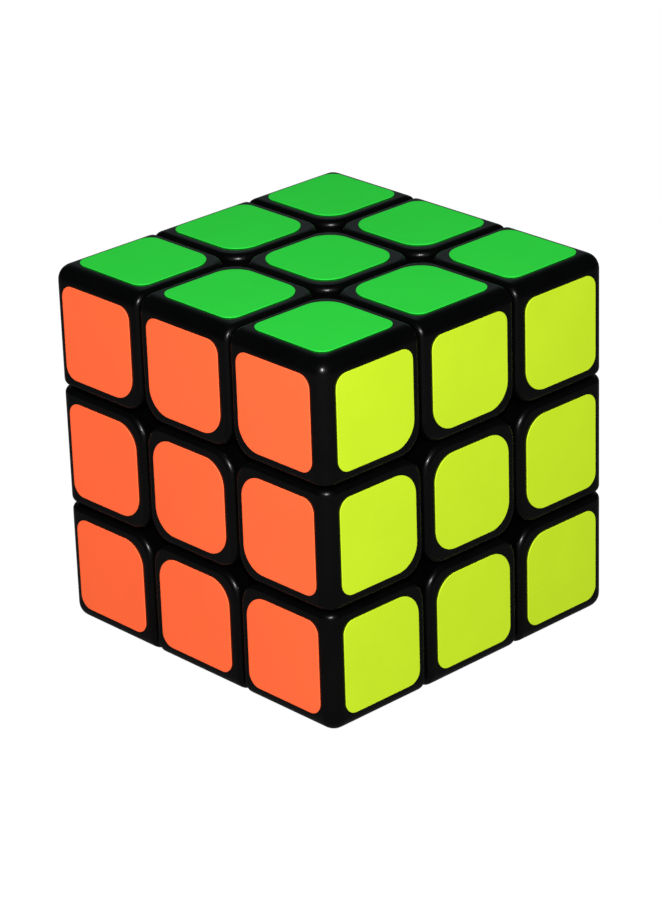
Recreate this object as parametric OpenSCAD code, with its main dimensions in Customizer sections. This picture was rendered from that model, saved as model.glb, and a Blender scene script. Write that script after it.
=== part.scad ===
// Twisty puzzle cube: three layers each way, six turning faces.
//
// Every piece is drawn once in a home place and then moved to its own place:
//   centre  at +Z, edge at +Y +Z, corner at +X +Y +Z, all about the cube's middle.
// Outside the sphere of radius foot_r the pieces are parted by the seam planes that show
// on the faces. Inside it they are parted by planes nearer the middle, so each edge and
// corner has a foot that hooks under its neighbours and no piece can fall out.
// The part stands on its bottom face, with the origin at the middle of that face.

/* [Cube] */
// Size of the cube from sticker to sticker
cube_size = 57; // [56:0.5:58]
// Thickness of the middle layer, between two seam planes
middle_layer = 18.8; // [18.4:0.1:19.2]
// Gap between two neighbouring pieces
seam_gap = 0.3; // [0.2:0.05:0.4]

/* [Roundings] */
// Radius along the cube's twelve outer edges
outer_round = 2.4; // [1.8:0.1:2.6]
// Radius along the rim of each seam on a face
seam_round = 1.0; // [0.6:0.1:1.4]
// Radius of the upright edges where four pieces meet
junction_round = 4.0; // [2:0.5:4.5]

/* [Stickers] */
// Thickness of a sticker
sticker_t = 0.2; // [0.1:0.05:0.3]
// Side of a centre sticker, also the long side of an edge sticker
mid_sticker = 14.9; // [14:0.1:15.6]
// Side of a corner sticker
outer_sticker = 14.6; // [14:0.1:14.8]
// From a seam plane to the nearest side of an edge or corner sticker
sticker_margin = 1.85; // [1.5:0.05:2]
// Radius of the sticker corners that point at a junction
sticker_big_round = 3.8; // [3:0.1:5.5]
// Radius of the other sticker corners
sticker_small_round = 2.0; // [0.8:0.1:2.5]

/* [Mechanism] */
// Radius of the sphere that the feet run under
foot_r = 20.5; // [20:0.1:21]
// Radius of the sphere that the feet run on
core_r = 15; // [14.5:0.1:15.5]
// Distance of the inner seam planes from the cube's middle
inner_plane = 6; // [5.5:0.1:6.5]
// Wall thickness of the hollow pieces
wall = 1.6; // [1.2:0.1:2]
// Height of the seat between a centre hub and its cap, above the cube's middle
cap_seat = 22.3; // [22:0.1:22.6]

/* [Core and screws] */
// Radius of the ball in the middle of the core
core_ball_r = 8.5; // [7.5:0.5:9]
// Radius of the core's six arms
core_arm_r = 4.4; // [4:0.1:4.8]
// Radius of the screw shank
shank_r = 1.5; // [1.3:0.1:1.6]
// Radius of the screw head
head_r = 3.0; // [2.8:0.1:3.1]
// Thickness of the screw head
head_t = 1.8; // [1.4:0.1:2]
// Radius of the spring's wire
wire_r = 0.3; // [0.25:0.05:0.35]
// Turns in a spring
spring_turns = 4; // [3:1:4]

/* [Hidden] */
clear = seam_gap / 2;                 // each piece stands this far back from a seam
half = cube_size / 2;
skin = half - sticker_t;              // plastic face, from the cube's middle
seam = middle_layer / 2;              // seam plane, from the cube's middle
boss_r = 5;                           // post of a centre hub, inside its cap
boss_room = 0.5;                      // between the post and the lid of its cap
boss_top = skin - wall - boss_room;
well_r = 3.5;                         // bore that holds the spring and the screw head
well_bottom_t = 2.3;                  // plastic under that bore, between it and the core
well_floor = core_r + well_bottom_t;
shank_room = 0.25;                    // round the shank, so that the face turns freely
shank_bore_r = shank_r + shank_room;
neck_sink = 1;                        // how far an edge's neck ends inside the feet's sphere
head_z = 23.4;                        // underside of the screw head
washer_t = 0.5;
slip = 0.05;                          // gap between loose pieces on one screw
screw_tip = 5.5;
arm_end = sqrt(pow(core_r - clear, 2) - pow(core_arm_r, 2));
recess_w = 0.8;                       // cross recess of the screw head
recess_l = 3.6;
recess_d = 1.0;
head_chamfer = 0.4;
socket_wall = 1.2;                    // tube under the cap that grips the post
coil_r = 2.45;                        // spring radius at the middle of the wire
coil_low = well_floor + clear + wire_r;
coil_high = head_z - washer_t - 2 * slip - wire_r;
rings_per_turn = 8;
wire_sides = 6;
over = 1;                             // how far a cutter runs past what it cuts

SKIN_BLACK = [0.05, 0.05, 0.055];
CORE_GREY = [0.22, 0.22, 0.24];
STEEL = [0.72, 0.73, 0.75];
// Sticker colours on the low and the high side of X, Y and Z
STICKER_COLOURS = [
    [[0.93, 0.93, 0.92], [0.78, 0.91, 0.18]],
    [[1.00, 0.45, 0.27], [0.80, 0.08, 0.10]],
    [[0.06, 0.22, 0.66], [0.19, 0.78, 0.25]]
];

SIDE_NAMES = [["left", "right"], ["front", "back"], ["bottom", "top"]];
CENTRES = [for (a = [2, 1, 0], s = [1, -1]) [for (i = [0:2]) i == a ? s : 0]];
EDGES = [for (a = [1, 0, 2], s = [1, -1], t = [1, -1])
    [for (i = [0:2]) i == a ? 0 : i == (a + 1) % 3 ? s : t]];
CORNERS = [for (z = [1, -1], y = [-1, 1], x = [1, -1]) [x, y, z]];

// A place is a direction from the cube's middle. Its name goes top or bottom, then front or
// back, then right or left.
function side_name(p, i) = SIDE_NAMES[i][p[i] > 0 ? 1 : 0];
function joined(words, i = 0) =
    i >= len(words) ? "" : str(i > 0 ? "_" : "", words[i], joined(words, i + 1));
function place_name(p) = joined([for (i = [2, 1, 0]) if (p[i] != 0) side_name(p, i)]);
function hub_name(p) = str(place_name(p), "_centre_hub");
function cap_name(p) = str(place_name(p), "_centre_cap");
function centre_sticker_name(p) = str(place_name(p), "_centre_sticker");
function edge_name(p) = str(place_name(p), "_edge");
function corner_name(p) = str(place_name(p), "_corner");

// ---- moving a piece from its home place -------------------------------------------------

// One step takes X to Y, Y to Z and Z to X
module step_axes(steps) {
    if (steps <= 0) children();
    else rotate([90, 0, 90]) step_axes(steps - 1) children();
}

// Flips the piece to the low side of every axis where its place is negative
module flip_to(p) {
    mirror([p.x < 0 ? 1 : 0, 0, 0])
        mirror([0, p.y < 0 ? 1 : 0, 0])
            mirror([0, 0, p.z < 0 ? 1 : 0])
                children();
}

// Number of axis steps from the home place to a centre's or an edge's own place
function centre_steps(p) = p.z != 0 ? 0 : p.x != 0 ? 1 : 2;
function edge_steps(p) = p.x == 0 ? 0 : p.y == 0 ? 1 : 2;

// Puts what is drawn about the cube's middle on the surface that the cube stands on
module standing() {
    translate([0, 0, half]) children();
}

// ---- outlines --------------------------------------------------------------------------

// What a rounded corner takes away: a square patch less the circle that stays
module corner_waste(corner, inward, r) {
    start = [for (i = [0:1]) inward[i] > 0 ? corner[i] - over : corner[i] - r];
    difference() {
        translate(start) square(r + over);
        translate(corner + inward * r) circle(r, $fn = 64);
    }
}

// Rectangle with its own radius at each corner: low-low, high-low, high-high, low-high
module rounded_rectangle(low, high, radii) {
    corners = [low, [high.x, low.y], high, [low.x, high.y]];
    inwards = [[1, 1], [-1, 1], [-1, -1], [1, -1]];
    difference() {
        translate(low) square(high - low);
        for (i = [0:3])
            if (radii[i] > 0) corner_waste(corners[i], inwards[i], radii[i]);
    }
}

// A cell is [0 or 1] along each axis: 0 between the two seam planes, 1 outside them
function cell_low(c) = c == 0 ? clear - seam : seam + clear;
function cell_high(c) = c == 0 ? seam - clear : skin;
// Radius along an edge, from how many of its two faces are outer skin
function edge_radius(skins) = [junction_round, seam_round, outer_round][skins];

// Outline of a cell seen along one axis, drawn smaller by inset
module cell_outline(cu, cv, inset) {
    radii = [for (k = [[0, 0], [cu, 0], [cu, cv], [0, cv]]) max(edge_radius(k[0] + k[1]) - inset, 0)];
    rounded_rectangle([cell_low(cu) + inset, cell_low(cv) + inset],
                      [cell_high(cu) - inset, cell_high(cv) - inset], radii);
}

// Block that fills a cell, with rounded edges: three outlines run along the three axes and shared
module cell_block(cell, inset = 0) {
    intersection_for (axis = [0:2]) {
        lo = cell_low(cell[axis]) + inset;
        hi = cell_high(cell[axis]) - inset;
        step_axes((axis + 1) % 3)
            translate([0, 0, lo])
                linear_extrude(hi - lo)
                    cell_outline(cell[(axis + 1) % 3], cell[(axis + 2) % 3], inset);
    }
}

module ball(r) {
    sphere(r, $fn = 96);
}

// ---- corner, edge and centre ------------------------------------------------------------

// Space inside the feet's sphere that belongs to a cell of the inner seam planes
module foot_cell(cell) {
    reach = [for (c = cell) c == 0 ? inner_plane - clear : foot_r];
    start = [for (c = cell) c == 0 ? clear - inner_plane : inner_plane + clear];
    difference() {
        intersection() {
            translate(start) cube(reach - start);
            ball(foot_r - clear);
        }
        ball(core_r + clear);
    }
}

// Hollow inside a piece, clear of the sphere that the neighbours' feet run in
module hollow(cell) {
    difference() {
        cell_block(cell, wall);
        ball(foot_r + clear + wall);
    }
}

module corner_piece() {
    cell = [1, 1, 1];
    difference() {
        union() {
            cell_block(cell);
            foot_cell(cell);
        }
        hollow(cell);
    }
}

// Neck that joins an edge's or a centre's body to its foot
module neck(cell, top) {
    low = [for (c = cell) c == 0 ? clear - inner_plane : seam + clear];
    high = [for (c = cell) c == 0 ? inner_plane - clear : top];
    difference() {
        translate(low) cube(high - low);
        ball(core_r + clear);
    }
}

module edge_piece() {
    cell = [0, 1, 1];
    difference() {
        union() {
            difference() {
                cell_block(cell);
                ball(foot_r + clear);
            }
            neck(cell, foot_r - neck_sink);
            foot_cell(cell);
        }
        hollow(cell);
    }
}

module centre_hub() {
    cell = [0, 0, 1];
    difference() {
        union() {
            difference() {
                intersection() {
                    cell_block(cell);
                    translate([-seam, -seam, 0]) cube([2 * seam, 2 * seam, cap_seat]);
                }
                ball(foot_r + clear);
            }
            neck(cell, cap_seat);
            foot_cell(cell);
            translate([0, 0, cap_seat - over])
                cylinder(boss_top - cap_seat + over, r = boss_r, $fn = 64);
        }
        translate([0, 0, well_floor]) cylinder(half, r = well_r, $fn = 64);
        cylinder(half, r = shank_bore_r, $fn = 48);
    }
}

module centre_cap() {
    cell = [0, 0, 1];
    above_seat = skin - cap_seat + over;
    difference() {
        intersection() {
            cell_block(cell);
            translate([-seam, -seam, cap_seat]) cube([2 * seam, 2 * seam, above_seat]);
        }
        difference() {
            translate([0, 0, cap_seat - over])
                linear_extrude(skin - wall - cap_seat + over)
                    cell_outline(0, 0, wall);
            translate([0, 0, cap_seat + wall])
                cylinder(above_seat, r = boss_r + slip + socket_wall, $fn = 64);
        }
        translate([0, 0, cap_seat - over])
            cylinder(skin - wall - cap_seat + over, r = boss_r + slip, $fn = 64);
    }
}

// ---- stickers -----------------------------------------------------------------------------

function sticker_low(c) = c == 0 ? -mid_sticker / 2 : seam + sticker_margin;
function sticker_high(c) = c == 0 ? mid_sticker / 2 : seam + sticker_margin + outer_sticker;

// Sticker on the +Z face of a cell that is (cu, cv) along X and Y
module sticker(cu, cv) {
    radii = [for (k = [[0, 0], [cu, 0], [cu, cv], [0, cv]])
        k[0] + k[1] == 0 ? sticker_big_round : sticker_small_round];
    translate([0, 0, skin])
        linear_extrude(sticker_t)
            rounded_rectangle([sticker_low(cu), sticker_low(cv)],
                              [sticker_high(cu), sticker_high(cv)], radii);
}

function sticker_colour(p, axis) = STICKER_COLOURS[axis][p[axis] > 0 ? 1 : 0];

module centre_sticker(p) {
    steps = centre_steps(p);
    color(sticker_colour(p, (2 + steps) % 3))
        standing() flip_to(p) step_axes(steps) sticker(0, 0);
}

// Edge stickers lie on the home place's +Z and +Y faces, which mirror each other
module edge_stickers(p) {
    steps = edge_steps(p);
    color(sticker_colour(p, (2 + steps) % 3))
        standing() flip_to(p) step_axes(steps) sticker(0, 1);
    color(sticker_colour(p, (1 + steps) % 3))
        standing() flip_to(p) step_axes(steps) mirror([0, 1, -1]) sticker(0, 1);
}

module corner_stickers(p) {
    for (steps = [0:2])
        color(sticker_colour(p, (2 + steps) % 3))
            standing() flip_to(p) step_axes(steps) sticker(1, 1);
}

// ---- core, screws and springs -------------------------------------------------------------

// Turns what points along +Z to a centre's place, without mirroring it
module turn_to(p) {
    step_axes(centre_steps(p)) rotate([p * [1, 1, 1] < 0 ? 180 : 0, 0, 0]) children();
}

// Ball with six bored arms that end inside the sphere that the feet run on
module core() {
    color(CORE_GREY) standing() difference() {
        union() {
            ball(core_ball_r);
            for (p = CENTRES)
                turn_to(p)
                    translate([0, 0, screw_tip])
                        cylinder(arm_end - screw_tip, r = core_arm_r, $fn = 64);
        }
        for (p = CENTRES)
            turn_to(p) translate([0, 0, screw_tip]) cylinder(core_r, r = shank_r, $fn = 48);
    }
}

module screw() {
    difference() {
        union() {
            translate([0, 0, screw_tip]) cylinder(head_z - screw_tip + slip, r = shank_r, $fn = 48);
            translate([0, 0, head_z]) cylinder(head_t - head_chamfer, r = head_r, $fn = 48);
            translate([0, 0, head_z + head_t - head_chamfer])
                cylinder(head_chamfer, r1 = head_r, r2 = head_r - head_chamfer, $fn = 48);
        }
        for (angle = [0, 90])
            rotate([0, 0, angle])
                translate([-recess_l / 2, -recess_w / 2, head_z + head_t - recess_d])
                    cube([recess_l, recess_w, recess_d + over]);
    }
}

module washer() {
    translate([0, 0, head_z - washer_t - slip])
        difference() {
            cylinder(washer_t, r = head_r, $fn = 48);
            translate([0, 0, -over]) cylinder(washer_t + 2 * over, r = shank_r + slip, $fn = 48);
        }
}

// Middle of the spring's wire at ring i, and the frame of the ring round it
ring_count = spring_turns * rings_per_turn + 1;
function ring_angle(i) = 360 * i / rings_per_turn;
function ring_z(i) = coil_low + (coil_high - coil_low) * i / (ring_count - 1);
function ring_middle(i) = [coil_r * cos(ring_angle(i)), coil_r * sin(ring_angle(i)), ring_z(i)];
function ring_point(i, j) =
    let (a = ring_angle(i), b = 360 * j / wire_sides, out = coil_r + wire_r * cos(b))
    [out * cos(a), out * sin(a), ring_z(i) + wire_r * sin(b)];

// Compression spring as one unbroken tube
module spring() {
    points = [for (i = [0:ring_count - 1], j = [0:wire_sides - 1]) ring_point(i, j)];
    sides = [for (i = [0:ring_count - 2], j = [0:wire_sides - 1])
        let (a = i * wire_sides, b = a + wire_sides, k = (j + 1) % wire_sides)
        each [[a + j, b + k, b + j], [a + j, a + k, b + k]]];
    last = (ring_count - 1) * wire_sides;
    ends = [for (j = [1:wire_sides - 2]) each [[0, j + 1, j], [last, last + j, last + j + 1]]];
    polyhedron(points, concat(sides, ends));
}

// Least gap from one turn of the wire to the next
spring_gap = min([for (i = [0:ring_count - 1], j = [0:ring_count - 1])
    if (j - i > rings_per_turn / 2) norm(ring_middle(j) - ring_middle(i))]) - 2 * wire_r;
echo(least_gap_between_spring_turns = spring_gap);

// Six sets, each a screw, a washer and a spring, all separate solids
module tension_screws_and_springs() {
    color(STEEL) standing()
        for (p = CENTRES)
            turn_to(p) {
                screw();
                washer();
                spring();
            }
}

// ---- pieces in their places ---------------------------------------------------------------

module centre_hub_at(p) {
    color(SKIN_BLACK) standing() flip_to(p) step_axes(centre_steps(p)) centre_hub();
}

module centre_cap_at(p) {
    color(SKIN_BLACK) standing() flip_to(p) step_axes(centre_steps(p)) centre_cap();
}

module edge_at(p) {
    color(SKIN_BLACK) standing() flip_to(p) step_axes(edge_steps(p)) edge_piece();
}

module corner_at(p) {
    color(SKIN_BLACK) standing() flip_to(p) corner_piece();
}

core();
tension_screws_and_springs();
for (p = CENTRES) centre_hub_at(p);
for (p = CENTRES) centre_cap_at(p);
for (p = CENTRES) centre_sticker(p);
for (p = EDGES) edge_at(p);
for (p = EDGES) edge_stickers(p);
for (p = CORNERS) corner_at(p);
for (p = CORNERS) corner_stickers(p);
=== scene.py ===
# %% [markdown]
# # A twisty puzzle cube, finished piece by piece
#
# The cube is made of hollow black pieces with thin coloured stickers, round a core that nobody
# sees. The measured model already says how big every piece is and how it turns. This lesson
# gives each piece the shape and finish that the eye meets: rounded rims, dark hollows where
# four pieces meet, polished plastic and satin vinyl. Nothing here changes a size.

# %% Load the measured model
import math

import bmesh
import bpy
from mathutils import Matrix, Vector


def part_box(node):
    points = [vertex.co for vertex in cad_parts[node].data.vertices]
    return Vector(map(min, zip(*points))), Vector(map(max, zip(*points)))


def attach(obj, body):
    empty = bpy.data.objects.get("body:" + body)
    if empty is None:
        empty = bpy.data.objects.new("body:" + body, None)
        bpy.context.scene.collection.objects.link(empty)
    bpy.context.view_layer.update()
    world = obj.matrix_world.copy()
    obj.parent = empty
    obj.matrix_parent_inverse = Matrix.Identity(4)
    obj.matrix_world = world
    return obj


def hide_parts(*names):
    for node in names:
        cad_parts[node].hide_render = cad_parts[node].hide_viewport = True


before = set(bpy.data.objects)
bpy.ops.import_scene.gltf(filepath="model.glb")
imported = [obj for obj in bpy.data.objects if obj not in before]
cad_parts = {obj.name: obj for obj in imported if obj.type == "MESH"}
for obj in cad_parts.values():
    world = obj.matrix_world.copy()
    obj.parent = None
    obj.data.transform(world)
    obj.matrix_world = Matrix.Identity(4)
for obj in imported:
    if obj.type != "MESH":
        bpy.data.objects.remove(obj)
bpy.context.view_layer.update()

# %% [markdown]
# ## Sizes
#
# A script could hold a long list of coordinates, but then nobody could read the cube out of it.
# A few lengths are enough, because the cube repeats: a seam plane 9.4 mm from the middle, a
# skin 28.3 mm from it, and the radius of each kind of rounding. They are the same as in the
# construction. Blender counts in metres, so each length is written in millimetres and scaled.

# %% Lengths that drive every piece
MM = 0.001
CLEAR = 0.15 * MM            # each piece stands this far back from a seam plane
SEAM = 9.4 * MM              # seam plane, from the cube's middle
OUTER_ROUND = 2.4 * MM       # the cube's twelve outer edges
SEAM_ROUND = 1.0 * MM        # rim of a seam on a face
JUNCTION_ROUND = 4.0 * MM    # upright edges where four pieces meet
FOOT_R = 20.5 * MM           # sphere that the feet run under
CORE_R = 15.0 * MM           # sphere that the feet run on
INNER_PLANE = 6.0 * MM       # seam plane inside the sphere
CAP_SEAT = 22.3 * MM         # where a centre cap sits on its hub
WALL = 1.6 * MM
STICKER_T = 0.2 * MM
MID_STICKER = 14.9 * MM
OUTER_STICKER = 14.6 * MM
STICKER_MARGIN = 1.85 * MM   # from a seam plane to the sticker beside it
STICKER_BIG_ROUND = 3.8 * MM
STICKER_SMALL_ROUND = 2.0 * MM

skin_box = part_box("top_front_right_corner")
sticker_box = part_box("top_centre_sticker")
SKIN = skin_box[1][0]
HALF = sticker_box[1][2] / 2            # the cube stands on the floor
MIDDLE = Vector((0, 0, HALF))
print("half size", round(HALF / MM, 2), "mm, plastic skin at", round(SKIN / MM, 2), "mm")

# %% [markdown]
# ## Where the camera stands
#
# The photograph looks down on the near upright edge, with the orange face on the left and the
# yellow one on the right. The long lens keeps the sides nearly parallel. A camera could be
# moved by eye until the picture fits. Here its place is given as a compass angle, a height
# angle, a small tilt and a distance, found by matching the middles of the stickers that show
# together with the cube's outline.

# %% Camera
CAMERA_AZIMUTH = math.radians(46.89)
CAMERA_ELEVATION = math.radians(23.70)
CAMERA_TILT = math.radians(-1.87)
CAMERA_DISTANCE = 0.5182
FOCAL_MM = 192.1
SENSOR_MM = 36
SHIFT_RIGHT = -0.00526       # moves the cube in the picture, as a share of its width
SHIFT_UP = -0.01839


def camera_axes(azimuth, elevation, tilt):
    """Right, up and backward directions of a camera that looks at the cube's middle."""
    right = Vector((math.cos(azimuth), math.sin(azimuth), 0))
    back = Vector((math.sin(azimuth) * math.cos(elevation),
                   -math.cos(azimuth) * math.cos(elevation),
                   math.sin(elevation)))
    up = back.cross(right)
    turned_right = math.cos(tilt) * right + math.sin(tilt) * up
    turned_up = math.cos(tilt) * up - math.sin(tilt) * right
    return turned_right, turned_up, back


cam_right, cam_up, cam_back = camera_axes(CAMERA_AZIMUTH, CAMERA_ELEVATION, CAMERA_TILT)
camera_data = bpy.data.cameras.new("camera")
camera = bpy.data.objects.new("camera", camera_data)
bpy.context.scene.collection.objects.link(camera)
camera_data.sensor_fit = "HORIZONTAL"
camera_data.sensor_width = SENSOR_MM
camera_data.lens = FOCAL_MM
camera_data.shift_x = SHIFT_RIGHT
camera_data.shift_y = SHIFT_UP
camera.matrix_world = Matrix.Translation(MIDDLE + cam_back * CAMERA_DISTANCE) @ Matrix(
    (cam_right, cam_up, cam_back)).transposed().to_4x4()
bpy.context.scene.camera = camera
print("camera at", [round(c, 3) for c in camera.matrix_world.translation])

# %% [markdown]
# ## Working with the operators
#
# Every piece starts as a primitive, is shaped in edit mode and finished with modifiers. An
# operator acts on whatever is selected, so each helper clears the selection first and then
# picks faces or edges by where they are, never by their number.

# %% Selecting and changing a mesh
def only(*objects):
    """Selects just these objects and makes the first one active."""
    bpy.ops.object.select_all(action="DESELECT")
    for obj in objects:
        obj.select_set(True)
    bpy.context.view_layer.objects.active = objects[0]


def settle(name):
    """Names the new object and bakes its place and size into its mesh."""
    obj = bpy.context.object
    obj.name = name
    only(obj)
    bpy.ops.object.transform_apply(location=True, rotation=True, scale=True)
    return obj


def edit(obj):
    only(obj)
    bpy.ops.object.mode_set(mode="EDIT")


def leave_edit():
    bpy.ops.object.mode_set(mode="OBJECT")


def pick(obj, kind, test):
    """In edit mode, selects the vertices, edges or faces that pass the test."""
    bpy.ops.mesh.select_mode(type=kind)
    bpy.ops.mesh.select_all(action="DESELECT")
    mesh = bmesh.from_edit_mesh(obj.data)
    mesh.normal_update()
    items = {"VERT": mesh.verts, "EDGE": mesh.edges, "FACE": mesh.faces}[kind]
    chosen = [item for item in items if test(item)]
    for item in chosen:
        item.select_set(True)
    mesh.select_flush_mode()
    bmesh.update_edit_mesh(obj.data)
    return len(chosen)


# %% Modifiers, joining and shading
PLASTIC_CREASE = 35          # degrees past which an edge of the plastic stays sharp


def apply_modifier(obj, kind, **settings):
    """Adds one modifier, sets it and applies it."""
    only(obj)
    modifier = obj.modifiers.new(kind.lower(), kind)
    for key, value in settings.items():
        setattr(modifier, key, value)
    bpy.ops.object.modifier_apply(modifier=modifier.name)


def combine(obj, other, operation):
    """Joins, shares or cuts with another closed object, which is then deleted."""
    apply_modifier(obj, "BOOLEAN", operation=operation, solver="EXACT", object=other)
    bpy.data.objects.remove(other)


def polish(obj, crease=PLASTIC_CREASE):
    """Smooth shading up to a crease, with flat faces kept flat beside their roundings."""
    only(obj)
    bpy.ops.object.shade_smooth_by_angle(angle=math.radians(crease))
    apply_modifier(obj, "WEIGHTED_NORMAL", keep_sharp=True)


# %% Primitives at their size and place
BALL_SEGMENTS = 96


def add_box(name, low, high):
    low, high = Vector(low), Vector(high)
    bpy.ops.object.select_all(action="DESELECT")
    bpy.ops.mesh.primitive_cube_add(size=1, location=(low + high) / 2, scale=high - low)
    return settle(name)


def add_ball(name, radius):
    bpy.ops.object.select_all(action="DESELECT")
    bpy.ops.mesh.primitive_uv_sphere_add(
        segments=BALL_SEGMENTS, ring_count=BALL_SEGMENTS // 2, radius=radius)
    return settle(name)


# %% [markdown]
# ## Finishes
#
# The plastic is black and polished, with the faint unevenness that moulded parts have and the
# very fine scuffs of a cube that is turned a lot. The stickers are satin vinyl: colour first,
# then a soft wide shine and a skin that isn't perfectly flat. Both are noise in Object
# coordinates, which stay with the piece when it turns. A flat colour would look like paint on
# paper, and an image texture could not be resized with the cube.

# %% Noise, and sums on it
NOISE_SPAN = (0.3, 0.7)      # nearly all of a noise lies between these


def noise(tree, scale, detail):
    """Noise over the piece's own coordinates, scale in bumps a metre."""
    place = tree.nodes.new("ShaderNodeTexCoord")
    texture = tree.nodes.new("ShaderNodeTexNoise")
    texture.inputs["Scale"].default_value = scale
    texture.inputs["Detail"].default_value = detail
    tree.links.new(place.outputs["Object"], texture.inputs["Vector"])
    return texture.outputs["Fac"]


def calculate(tree, operation, *values):
    """One Math node. Each value is a number or the output of another node."""
    node = tree.nodes.new("ShaderNodeMath")
    node.operation = operation
    for socket, value in zip(node.inputs, values):
        if isinstance(value, bpy.types.NodeSocket):
            tree.links.new(value, socket)
        else:
            socket.default_value = value
    return node.outputs["Value"]


def remap(tree, value, source, target):
    """Maps one range onto another, and holds still past its ends."""
    node = tree.nodes.new("ShaderNodeMapRange")
    tree.links.new(value, node.inputs["Value"])
    for socket, number in zip(("From Min", "From Max", "To Min", "To Max"), (*source, *target)):
        node.inputs[socket].default_value = number
    return node.outputs["Result"]


def shades(tree, factor, dark, light):
    """Colour that wanders between two shades."""
    ramp = tree.nodes.new("ShaderNodeValToRGB")
    for stop, position, colour in zip(ramp.color_ramp.elements, NOISE_SPAN, (dark, light)):
        stop.position = position
        stop.color = (*colour, 1)
    tree.links.new(factor, ramp.inputs["Fac"])
    return ramp.outputs["Color"]


def relief(tree, shader, layers):
    """Stacks bump layers, each a height with a depth in metres."""
    normal = None
    for height, depth in layers:
        bump = tree.nodes.new("ShaderNodeBump")
        bump.inputs["Strength"].default_value = 1.0
        bump.inputs["Distance"].default_value = depth
        tree.links.new(height, bump.inputs["Height"])
        if normal is not None:
            tree.links.new(normal, bump.inputs["Normal"])
        normal = bump.outputs["Normal"]
    tree.links.new(normal, shader.inputs["Normal"])


# %% The recipe that every finish follows
SHADE_DETAIL = 3
ROUGH_DETAIL = 4


def finish(name, shade_pair, shade_scale, rough, rough_scale, specular, bumps, metallic=0.0):
    """Two shades, a range of roughness, a specular level and bumps of (scale, detail, depth)."""
    material = bpy.data.materials.new(name)
    material.use_nodes = True
    tree = material.node_tree
    shader = tree.nodes["Principled BSDF"]
    shader.inputs["Specular IOR Level"].default_value = specular
    shader.inputs["Metallic"].default_value = metallic
    colour = shades(tree, noise(tree, shade_scale, SHADE_DETAIL), *shade_pair)
    roughness = remap(tree, noise(tree, rough_scale, ROUGH_DETAIL), NOISE_SPAN, rough)
    tree.links.new(colour, shader.inputs["Base Color"])
    tree.links.new(roughness, shader.inputs["Roughness"])
    relief(tree, shader, [(noise(tree, scale, detail), depth) for scale, detail, depth in bumps])
    return material


# %% [markdown]
# Fingers rub the rims of a cube dull long before they reach its flat walls. The finish could be
# painted on by hand, but the shape already says where a rim is: on a flat wall the normal points
# along one axis, so its largest share is 1, and on a rounding it is less.

# %% Wear along the rims
WALL_ALONG_AXIS = 0.999      # largest share of the normal on an untouched flat wall
RIM_ALONG_AXIS = 0.985       # and where the rounding is fully worn


def flatness(tree):
    """1 on a flat wall of the piece and 0 on its roundings."""
    place = tree.nodes.new("ShaderNodeTexCoord")
    size = tree.nodes.new("ShaderNodeVectorMath")
    size.operation = "ABSOLUTE"
    tree.links.new(place.outputs["Normal"], size.inputs[0])
    parts = tree.nodes.new("ShaderNodeSeparateXYZ")
    tree.links.new(size.outputs["Vector"], parts.inputs["Vector"])
    largest = calculate(tree, "MAXIMUM", parts.outputs["X"], parts.outputs["Y"])
    largest = calculate(tree, "MAXIMUM", largest, parts.outputs["Z"])
    return remap(tree, largest, (RIM_ALONG_AXIS, WALL_ALONG_AXIS), (0, 1))


def keep_walls_polished(material, share):
    """Lowers the roughness to this share of itself on the flat walls."""
    tree = material.node_tree
    roughness = tree.nodes["Principled BSDF"].inputs["Roughness"]
    worn = roughness.links[0].from_socket
    polished = remap(tree, flatness(tree), (0, 1), (1, share))
    tree.links.new(calculate(tree, "MULTIPLY", worn, polished), roughness)


# %% Plastic, core plastic and steel
SINK_BUMPS = 90              # broad waves of a moulded wall, a metre
SCUFF_BUMPS = 2600           # fine scuffs, a metre
MOULD_GRAIN = 700            # matt grain of the core, a metre
ZINC_GRAIN = 1800            # crystals of the plating, a metre
POLISHED_SHARE = 0.37        # roughness of a flat wall as a share of a worn rim's

black_plastic = finish(
    "polished_black_plastic",
    shade_pair=((0.0003, 0.0003, 0.0004), (0.0008, 0.0008, 0.0008)), shade_scale=160,
    rough=(0.25, 0.33), rough_scale=420, specular=0.42,
    bumps=[(SINK_BUMPS, 2, 0.00010), (SCUFF_BUMPS, 3, 0.000004)])
keep_walls_polished(black_plastic, POLISHED_SHARE)
core_plastic = finish(
    "plain_grey_plastic",
    shade_pair=((0.040, 0.040, 0.044), (0.052, 0.052, 0.056)), shade_scale=200,
    rough=(0.42, 0.55), rough_scale=500, specular=0.5,
    bumps=[(MOULD_GRAIN, 3, 0.00002)])
screw_steel = finish(
    "zinc_plated_steel",
    shade_pair=((0.50, 0.51, 0.53), (0.62, 0.63, 0.65)), shade_scale=300,
    rough=(0.22, 0.34), rough_scale=900, specular=0.5,
    bumps=[(ZINC_GRAIN, 2, 0.000006)], metallic=1.0)
print("plain finishes:", black_plastic.name, core_plastic.name, screw_steel.name)

# %% Six vinyl colours, by the face that they lie on
FACE_COLOURS = {
    "green": (0.016, 0.510, 0.036),
    "orange": (0.99, 0.134, 0.042),
    "yellow": (0.465, 0.655, 0.0175),
    "blue": (0.006, 0.045, 0.40),
    "red": (0.58, 0.007, 0.013),
    "white": (0.83, 0.83, 0.81),
}
# Colour on the low side and on the high side of each axis
FACE_AT = [("white", "yellow"), ("orange", "red"), ("blue", "green")]
DARKER_SHARE = 0.965         # the darker of a vinyl's two shades, as a share of the lighter
VINYL_WAVES = 240            # soft unevenness of the skin, a metre
VINYL_GRAIN = 3200           # its satin grain, a metre


def vinyl_finish(colour, tone):
    darker = tuple(channel * DARKER_SHARE for channel in tone)
    return finish(
        "satin_vinyl_" + colour, shade_pair=(darker, tone), shade_scale=110,
        rough=(0.50, 0.60), rough_scale=300, specular=0.18,
        bumps=[(VINYL_WAVES, 3, 0.00003), (VINYL_GRAIN, 2, 0.000002)])


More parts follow.
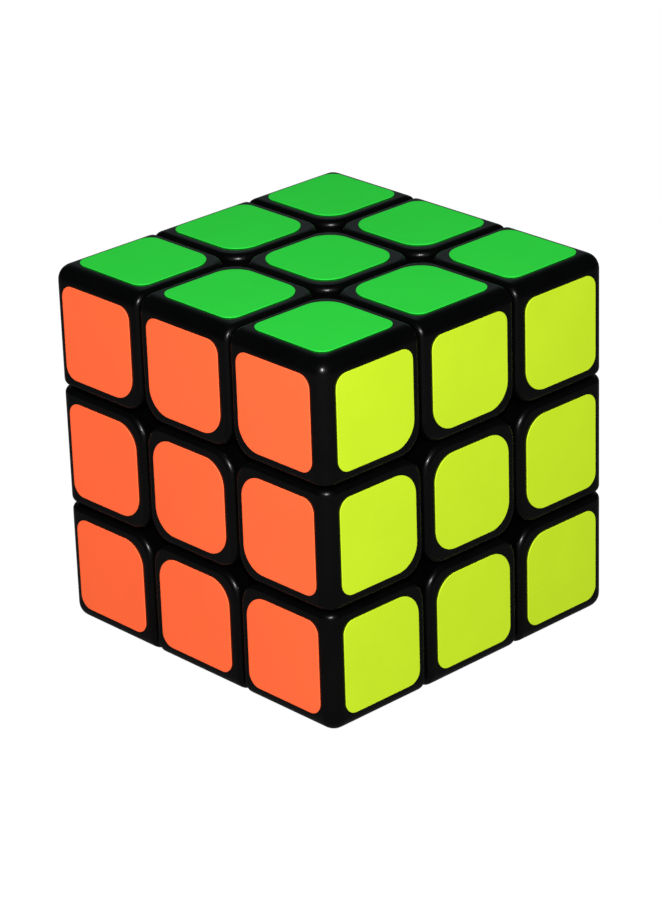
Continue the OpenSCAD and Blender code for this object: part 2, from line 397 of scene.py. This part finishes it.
vinyl = {colour: vinyl_finish(colour, tone) for colour, tone in FACE_COLOURS.items()}
print("vinyl colours:", ", ".join(vinyl))

# %% [markdown]
# ## The rounded block that shows
#
# A real piece comes out of its mould with three kinds of rounding: a large one on the upright
# edges where four pieces meet, a middling one on the cube's outer edges, and a small one along
# every seam. One bevel can't do this. The large ones are cut first, then the outer ones, and
# last the small one runs as a loop along the rim, over both, the way a moulded rim does.

# %% A cell of the cube, and which of its faces show
# A cell is 0 or 1 along each axis: 0 between the two seam planes, 1 outside them.
OUTWARD = 0.5                # a face shows when this much of its normal points out of the cube


def cell_low(cell):
    return [SEAM + CLEAR if c else CLEAR - SEAM for c in cell]


def cell_high(cell):
    return [SKIN if c else SEAM - CLEAR for c in cell]


def is_skin(face, cell):
    """True for a face that looks outward, away from every seam."""
    return sum(max(face.normal[a], 0) for a in range(3) if cell[a]) > OUTWARD


def skins_beside(edge, cell):
    return sum(is_skin(face, cell) for face in edge.link_faces)


# %% The block with its roundings
JUNCTION_SEGMENTS = 12
OUTER_SEGMENTS = 10
RIM_SEGMENTS = 6
CORNER_ANGLE = math.radians(60)     # an edge that bends more than this isn't rounded yet


def round_edges(obj, cell, skins, radius, segments):
    """Rounds the edges that have this many outward faces beside them."""
    def wanted(edge):
        if skins_beside(edge, cell) != skins:
            return False
        if sum(cell) == 1 and skins == 0:        # a cap stays sharp round its underside
            return abs(edge.verts[0].co.z - edge.verts[1].co.z) > SEAM_ROUND
        return skins == 1 or edge.calc_face_angle(0) > CORNER_ANGLE

    count = pick(obj, "EDGE", wanted)
    bpy.ops.mesh.bevel(offset_type="OFFSET", offset=radius, segments=segments, profile=0.5,
                       affect="EDGES", clamp_overlap=False, loop_slide=True)
    return count


def rounded_block(name, cell, low=None):
    block = add_box(name, low or cell_low(cell), cell_high(cell))
    edit(block)
    junctions = round_edges(block, cell, 0, JUNCTION_ROUND, JUNCTION_SEGMENTS)
    outers = round_edges(block, cell, 2, OUTER_ROUND, OUTER_SEGMENTS) if sum(cell) > 1 else 0
    rims = round_edges(block, cell, 1, SEAM_ROUND, RIM_SEGMENTS)
    leave_edit()
    print(name, "rounded", junctions, "junction,", outers, "outer and", rims, "rim edges")
    return block


# %% [markdown]
# ## Feet
#
# Below its block each corner and edge has a foot: a piece of a thick ball, parted from its
# neighbours by planes. A ball is cut down with bisect, which fills each cut, and a smaller ball
# hollows its underside. The foot could be left out, since nothing of it shows while the cube is
# whole, but it shows in the hollows where four pieces meet, and as soon as a face is turned.
#
# Bisect moves a cut to any point that lies within its threshold, a tenth of a millimetre unless
# told otherwise. On a piece this small that would bend the cut, so the threshold is made tiny.

# %% A foot, and a neck to carry it
CUT_THRESHOLD = 0.0001 * MM
NECK_INSET = 0.05 * MM       # keeps the neck's sides out of the planes of the block and the foot
NECK_TOP = 19.5 * MM         # ends inside the block


def cut_away(obj, axis, offset, side):
    """Removes what lies past a plane across an axis, on the given side, and fills the cut."""
    point, normal = Vector(), Vector()
    point[axis], normal[axis] = offset, side
    edit(obj)
    bpy.ops.mesh.select_all(action="SELECT")
    bpy.ops.mesh.bisect(plane_co=point, plane_no=normal, use_fill=True, clear_outer=True,
                        threshold=CUT_THRESHOLD)
    leave_edit()


def foot(name, cell):
    piece = add_ball(name, FOOT_R - CLEAR)
    for axis, outside in enumerate(cell):
        if outside:
            cut_away(piece, axis, INNER_PLANE + CLEAR, -1)
        else:
            cut_away(piece, axis, INNER_PLANE - CLEAR, 1)
            cut_away(piece, axis, CLEAR - INNER_PLANE, -1)
    combine(piece, add_ball("core_room", CORE_R + CLEAR), "DIFFERENCE")
    return piece


def neck(name, cell):
    reach = INNER_PLANE - CLEAR - NECK_INSET
    low = [SEAM + CLEAR + NECK_INSET if c else -reach for c in cell]
    high = [NECK_TOP if c else reach for c in cell]
    piece = add_box(name, low, high)
    combine(piece, add_ball("core_room", CORE_R + CLEAR + NECK_INSET), "DIFFERENCE")
    return piece


# %% [markdown]
# ## Corner, edge and centre cap
#
# Each kind is modelled once, at a home place about the cube's middle: the corner at +X +Y +Z,
# the edge at +Y +Z and the cap at +Z. The block, the neck and the foot are joined into one
# closed mesh, as the plastic is one piece when it is snapped together. An edge's block is first
# cut clear of the ball in which its neighbours' feet run; a corner's own foot fills its place.

# %% The three home pieces
CAP_ROOM_SEGMENTS = 8


def home_corner():
    cell = (1, 1, 1)
    piece = rounded_block("home_corner", cell)
    combine(piece, foot("corner_foot", cell), "UNION")
    polish(piece)
    return piece


def home_edge():
    cell = (0, 1, 1)
    piece = rounded_block("home_edge", cell)
    combine(piece, add_ball("feet_room", FOOT_R + CLEAR), "DIFFERENCE")
    combine(piece, neck("edge_neck", cell), "UNION")
    combine(piece, foot("edge_foot", cell), "UNION")
    polish(piece)
    return piece


def home_cap():
    """Centre cap: a rounded lid, hollow from below."""
    cell = (0, 0, 1)
    low = cell_low(cell)
    low[2] = CAP_SEAT
    piece = rounded_block("home_cap", cell, low)
    inset = SEAM - CLEAR - WALL
    room = add_box("cap_room", (-inset, -inset, CAP_SEAT - WALL), (inset, inset, SKIN - WALL))
    edit(room)
    pick(room, "EDGE", lambda e: abs(e.verts[0].co.z - e.verts[1].co.z) > WALL)
    bpy.ops.mesh.bevel(offset=JUNCTION_ROUND - WALL, segments=CAP_ROOM_SEGMENTS, affect="EDGES")
    leave_edit()
    combine(piece, room, "DIFFERENCE")
    polish(piece)
    return piece


homes = {"corner": home_corner(), "edge": home_edge(), "cap": home_cap()}
for kind, home in homes.items():
    print(kind, "has", len(home.data.polygons), "faces")

# %% [markdown]
# ## From the home place to all the others
#
# A place is a direction such as (1, -1, 1). A piece gets there by stepping the axes round
# (X to Y, Y to Z, Z to X) and by changing sides. Changing sides once is a mirror, which would
# turn the mesh inside out, so where the count of changes is odd, the home piece is first
# mirrored onto itself. Its symmetry hides that, and what is left is a plain turn.

# %% Turning a piece to its place
KINDS = {3: "corner", 2: "edge", 1: "cap"}      # by how many outer sides a piece has
STEP = Matrix(((0, 0, 1), (1, 0, 0), (0, 1, 0)))
SWAP_X_AND_Y = Matrix(((0, 1, 0), (1, 0, 0), (0, 0, 1)))
SWAP_ENDS = Matrix(((-1, 0, 0), (0, 1, 0), (0, 0, 1)))
ONTO_ITSELF = {"corner": SWAP_X_AND_Y, "edge": SWAP_ENDS, "cap": SWAP_ENDS}


def kind_at(place):
    return KINDS[sum(abs(s) for s in place)]


def steps_to(place):
    """How often the axes are stepped round on the way from home to a place."""
    along = [abs(s) for s in place]
    return {"corner": 0,                             # a corner is the same along every axis
            "edge": along.index(min(along)),         # an edge's ends point along X at home
            "cap": (along.index(1) + 1) % 3}[kind_at(place)]     # a cap looks along Z at home


def turn_for(place):
    """Turn that takes the home piece to a place."""
    turn = Matrix.Diagonal([s or 1 for s in place])
    for _ in range(steps_to(place)):
        turn = turn @ STEP
    if turn.determinant() < 0:
        turn = turn @ ONTO_ITSELF[kind_at(place)]
    return turn


# %% Names, copies and what each piece stands for
SIDES = (("left", "right"), ("front", "back"), ("bottom", "top"))


def place_name(place):
    return "_".join(SIDES[a][place[a] > 0] for a in (2, 1, 0) if place[a])


def all_places():
    reach = (1, 0, -1)
    return [(x, y, z) for z in reach for y in reach for x in reach if (x, y, z) != (0, 0, 0)]


def placed_copy(home, name, turn):
    """A copy with its own mesh, turned about the cube's middle and stood on the floor."""
    copy = home.copy()
    copy.data = home.data.copy()
    copy.name = name
    bpy.context.scene.collection.objects.link(copy)
    copy.matrix_world = Matrix.Translation(MIDDLE) @ turn.to_4x4()
    only(copy)
    bpy.ops.object.transform_apply(location=True, rotation=True, scale=True)
    return copy


def dress(piece, material, body, node):
    """Gives a piece its finish and its body, and hides the node that it stands for."""
    piece.data.materials.clear()
    piece.data.materials.append(material)
    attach(piece, body)
    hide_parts(node)


# %% Twenty six pieces of plastic
NODE_ENDINGS = {"corner": "_corner", "edge": "_edge", "cap": "_centre_cap"}
BODY_ENDINGS = {"corner": "", "edge": "", "cap": "_centre"}

for place in all_places():
    kind, where = kind_at(place), place_name(place)
    piece = placed_copy(homes[kind], kind + "_" + where, turn_for(place))
    dress(piece, black_plastic,
          body=where + BODY_ENDINGS[kind], node=where + NODE_ENDINGS[kind])
for home in homes.values():
    bpy.data.objects.remove(home)
print("placed", len(all_places()), "pieces of plastic")

# %% [markdown]
# ## Stickers
#
# A sticker is die-cut from thin vinyl. The corners that point at a junction are cut round, to
# follow the plastic, and the others are rounded less. It starts as a flat plane, its corners
# are rounded as vertices, Solidify gives it the thickness of the vinyl, and a hair-thin bevel
# catches the light along its rim, which is how the eye tells a sticker from paint.

# %% Where a sticker lies on the top face
def sticker_span(outside):
    """Low and high side of a sticker along one axis."""
    if outside:
        return SEAM + STICKER_MARGIN, SEAM + STICKER_MARGIN + OUTER_STICKER
    return -MID_STICKER / 2, MID_STICKER / 2


# %% The three home stickers
BIG_ROUND_SEGMENTS = 16
SMALL_ROUND_SEGMENTS = 8
RIM_BEVEL = 0.06 * MM
STICKER_CREASE = 50          # degrees


def home_sticker(name, across, along):
    spans = [sticker_span(across), sticker_span(along)]
    middle = [sum(span) / 2 for span in spans]
    bpy.ops.object.select_all(action="DESELECT")
    bpy.ops.mesh.primitive_plane_add(size=1, location=(*middle, SKIN))
    bpy.context.object.scale = (*[high - low for low, high in spans], 1)
    sticker = settle(name)

    def at_junction(vert):
        """A corner points at a junction unless it lies on an outer side of its piece."""
        return not any(outside and vert.co[a] > middle[a]
                       for a, outside in enumerate((across, along)))

    edit(sticker)
    pick(sticker, "VERT", at_junction)
    bpy.ops.mesh.bevel(offset=STICKER_BIG_ROUND, segments=BIG_ROUND_SEGMENTS,
                       affect="VERTICES", clamp_overlap=False)
    if across or along:
        corners = [Vector((x, y)) for x in spans[0] for y in spans[1]]
        pick(sticker, "VERT", lambda v: any((v.co.xy - c).length < STICKER_T for c in corners))
        bpy.ops.mesh.bevel(offset=STICKER_SMALL_ROUND, segments=SMALL_ROUND_SEGMENTS,
                           affect="VERTICES", clamp_overlap=False)
    leave_edit()
    apply_modifier(sticker, "SOLIDIFY", thickness=STICKER_T, offset=1)
    apply_modifier(sticker, "BEVEL", width=RIM_BEVEL, segments=2, limit_method="ANGLE",
                   angle_limit=math.radians(STICKER_CREASE))
    polish(sticker, STICKER_CREASE)
    return sticker


home_stickers = {
    "corner": home_sticker("home_corner_sticker", 1, 1),
    "edge": home_sticker("home_edge_sticker", 0, 1),
    "cap": home_sticker("home_cap_sticker", 0, 0),
}
for kind, home in home_stickers.items():
    print(kind, "sticker:", [round(d / MM, 2) for d in home.dimensions], "mm")

# %% [markdown]
# A corner carries three stickers and an edge two. The first lies on the home piece's top face.
# The others are the same sticker turned onto its other faces, and then the whole set goes to
# the piece's place with the same turn as the plastic. The colour is read off last, from the
# side of the cube that the sticker ends up on.

# %% Fifty four stickers in six colours
AS_IT_IS = Matrix.Identity(3)
SWAP_EDGE_FACES = Matrix(((-1, 0, 0), (0, 0, 1), (0, 1, 0)))
FACE_TURNS = {
    "corner": [AS_IT_IS, STEP, STEP @ STEP],
    "edge": [AS_IT_IS, SWAP_EDGE_FACES],
    "cap": [AS_IT_IS],
}
STICKER_NODES = {"corner": "_corner_stickers", "edge": "_edge_stickers", "cap": "_centre_sticker"}


def colour_facing(direction):
    axis = max(range(3), key=lambda a: abs(direction[a]))
    return FACE_AT[axis][direction[axis] > 0]


sticker_count = 0
for place in all_places():
    kind, where = kind_at(place), place_name(place)
    for face_turn in FACE_TURNS[kind]:
        turn = turn_for(place) @ face_turn
        colour = colour_facing(turn @ Vector((0, 0, 1)))
        piece = placed_copy(home_stickers[kind], "_".join((colour, "sticker", where)), turn)
        dress(piece, vinyl[colour],
              body=where + BODY_ENDINGS[kind], node=where + STICKER_NODES[kind])
        sticker_count += 1
for home in home_stickers.values():
    bpy.data.objects.remove(home)
print("placed", sticker_count, "stickers")

# %% [markdown]
# ## What the measured model already has right
#
# The core, the screws with their springs, and the centre hubs have the right shape and are
# almost hidden, so their own meshes stay and only get a better finish.

# %% Finishes on the kept nodes
def repaint(node, material):
    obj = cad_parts[node]
    for slot in obj.material_slots:
        slot.material = material


repaint("core", core_plastic)
repaint("tension_screws_and_springs", screw_steel)
hubs = [place_name(place) + "_centre_hub" for place in all_places() if kind_at(place) == "cap"]
for hub in hubs:
    repaint(hub, black_plastic)
print("finished the core, its screws and", len(hubs), "hubs")

# %% [markdown]
# ## Floor, light and air
#
# The picture has a plain white ground and was lit by a flash beside the lens: the rounded
# corners show small glints, and the far stickers are a little darker than the near ones. One
# bright lamp could do it, but its mirror image would be far brighter than those glints. So the
# flash is split in two: most of it only lights the cube, and a small part is mirrored as well.
# A weak lamp behind keeps the other faces from going dark. The floor is white to the camera,
# yet takes a faint shadow.

# %% What the camera sees of a glow
def seen_directly(tree, mirrored):
    """1 for the camera, through glass too, and this number or output in a reflection."""
    path = tree.nodes.new("ShaderNodeLightPath")
    looked_at = calculate(tree, "MAXIMUM",
                          path.outputs["Is Camera Ray"], path.outputs["Is Transmission Ray"])
    reflected = calculate(tree, "MULTIPLY", path.outputs["Is Glossy Ray"], mirrored)
    return calculate(tree, "MAXIMUM", looked_at, reflected)


# %% Floor
FLOOR_SIZE = 8.0
FLOOR_GREY = (0.05, 0.05, 0.05, 1)
FLOOR_ROUGH = 0.9
FLOOR_SHARE = 0.02           # how much of the white ground a reflection shows
FLOOR_GLOW = 0.97            # what the floor shows by itself, so that its shadow stays faint
WHITE = (1, 1, 1, 1)

bpy.ops.object.select_all(action="DESELECT")
bpy.ops.mesh.primitive_plane_add(size=FLOOR_SIZE)
floor = bpy.context.object
floor.name = "floor"

floor_material = bpy.data.materials.new("white_ground")
floor_material.use_nodes = True
floor_tree = floor_material.node_tree
floor_shader = floor_tree.nodes["Principled BSDF"]
floor_shader.inputs["Base Color"].default_value = FLOOR_GREY
floor_shader.inputs["Roughness"].default_value = FLOOR_ROUGH
floor_shader.inputs["Specular IOR Level"].default_value = 0.0
floor_shader.inputs["Emission Color"].default_value = WHITE
glow = calculate(floor_tree, "MULTIPLY", seen_directly(floor_tree, FLOOR_SHARE), FLOOR_GLOW)
floor_tree.links.new(glow, floor_shader.inputs["Emission Strength"])
floor.data.materials.append(floor_material)
print("floor is", FLOOR_SIZE, "m wide")

# %% [markdown]
# Gloss shows whatever stands round the cube. Here that is a dim room with one pale bluish wall
# behind the cube, which is what turns the flat plastic by the top stickers grey.

# %% Where the pale wall stands
ROOM_SHARE = 0.02            # what a reflection shows of the dim room
WALL_SHARE = 0.13            # and of the pale wall behind the cube
WALL_TINT = (0.80, 0.97, 1.0, 1)
WALL_HEIGHT = math.radians(20)
WALL_EDGE = (0.86, 0.95)     # cosines of the angles at which the wall has faded out and is full


def behind_cube(height):
    """Direction away from the camera, level but for this angle upwards."""
    level = Vector((-cam_back.x, -cam_back.y, 0)).normalized()
    return level * math.cos(height) + Vector((0, 0, math.sin(height)))


print("pale wall", round(math.degrees(WALL_HEIGHT)), "degrees up, behind the cube")

# %% World
SKY_LIGHT = 0.26             # scattered light from all round

world = bpy.data.worlds.new("white_room")
bpy.context.scene.world = world
world.use_nodes = True
world_tree = world.node_tree
background = world_tree.nodes["Background"]
path = world_tree.nodes.new("ShaderNodeLightPath")

tint = world_tree.nodes.new("ShaderNodeMix")
tint.data_type = "RGBA"
tint.inputs["A"].default_value = WHITE
tint.inputs["B"].default_value = WALL_TINT
world_tree.links.new(path.outputs["Is Glossy Ray"], tint.inputs["Factor"])
world_tree.links.new(tint.outputs["Result"], background.inputs["Color"])

looking = world_tree.nodes.new("ShaderNodeTexCoord")
facing_wall = world_tree.nodes.new("ShaderNodeVectorMath")
facing_wall.operation = "DOT_PRODUCT"
facing_wall.inputs[1].default_value = behind_cube(WALL_HEIGHT)
world_tree.links.new(looking.outputs["Generated"], facing_wall.inputs[0])
wall = remap(world_tree, facing_wall.outputs["Value"], WALL_EDGE, (ROOM_SHARE, WALL_SHARE))

scattered = calculate(world_tree, "MULTIPLY", path.outputs["Is Diffuse Ray"], SKY_LIGHT)
strength = calculate(world_tree, "MAXIMUM", seen_directly(world_tree, wall), scattered)
world_tree.links.new(strength, background.inputs["Strength"])
print("world:", len(world_tree.nodes), "nodes")


# %% Lamps
def add_lamp(name, place, watts, size, glossy):
    data = bpy.data.lights.new(name, "AREA")
    data.shape = "DISK"
    data.size = size
    data.energy = watts
    lamp = bpy.data.objects.new(name, data)
    bpy.context.scene.collection.objects.link(lamp)
    lamp.visible_glossy = glossy
    aim = (place - MIDDLE).to_track_quat("Z", "Y").to_matrix().to_4x4()
    lamp.matrix_world = Matrix.Translation(place) @ aim
    return lamp


FLASH_RISE = 0.06            # the flash sits this far above the lens
FLASH_WATTS = 4.55
FLASH_SIZE = 0.016
GLINT_PART = 0.28            # part of the flash that is mirrored as glints
FILL_DISTANCE = 1.5
FILL_HEIGHT = math.radians(9)
FILL_WATTS = 19.0
FILL_SIZE = 0.5

flash_place = MIDDLE + cam_back * CAMERA_DISTANCE + cam_up * FLASH_RISE
fill_place = MIDDLE + behind_cube(FILL_HEIGHT) * FILL_DISTANCE
lamps = [
    add_lamp("flash_beside_lens", flash_place, FLASH_WATTS * (1 - GLINT_PART), FLASH_SIZE, False),
    add_lamp("flash_glint", flash_place, FLASH_WATTS * GLINT_PART, FLASH_SIZE, True),
    add_lamp("fill_behind", fill_place, FILL_WATTS, FILL_SIZE, False),
]
print("lit by", ", ".join(lamp.name for lamp in lamps))

bpy.context.scene.view_settings.view_transform = "Standard"
